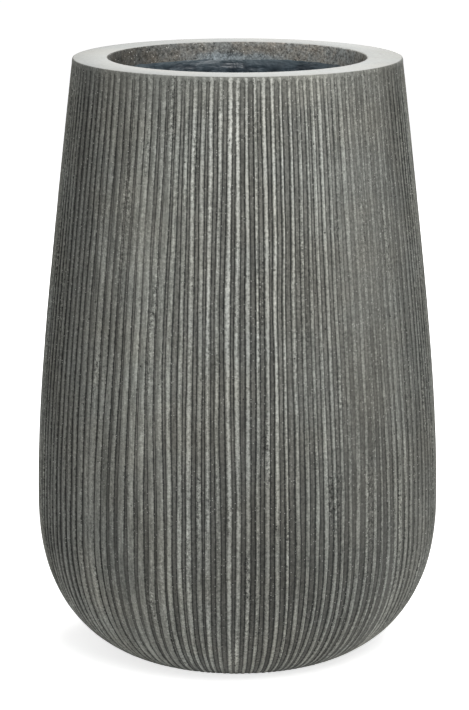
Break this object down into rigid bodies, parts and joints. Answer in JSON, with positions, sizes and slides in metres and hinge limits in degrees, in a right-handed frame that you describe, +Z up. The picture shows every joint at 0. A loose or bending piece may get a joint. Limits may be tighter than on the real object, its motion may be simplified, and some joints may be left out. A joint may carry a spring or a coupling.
{
  "type": "tall planter",
  "caption": "Tall round planter with a full belly, a narrow foot, fine vertical ribs and a wide flat rim, coated inside, with a rubber stopper in its drain hole.",
  "frame": {"origin": "centre of the foot ring, on the surface the planter stands on", "axes": "+Z up along the planter's axis, -Y towards the front in the picture"},
  "size_m": [0.34, 0.34, 0.5],
  "materials": {
    "stone": "ribbed, with rubbed crests and a smooth sanded rim",
    "filler": "rough cast filler",
    "laminate": "glass-fibre laminate, rough on the back",
    "coating": "brushed waterproof coating, half gloss",
    "rubber": "matt moulded rubber"
  },
  "bodies": {
    "planter": {"stone_shell": "stone", "rim_core": "filler", "fibre_backing": "laminate", "waterproof_coating": "coating"},
    "plug": {"drain_plug": "rubber"}
  },
  "joints": [
    {"name": "plug_lift", "type": "slide", "parent": "planter", "child": "plug", "axis": [0, 0, 1], "range_m": [0, 0.06]}
  ]
}
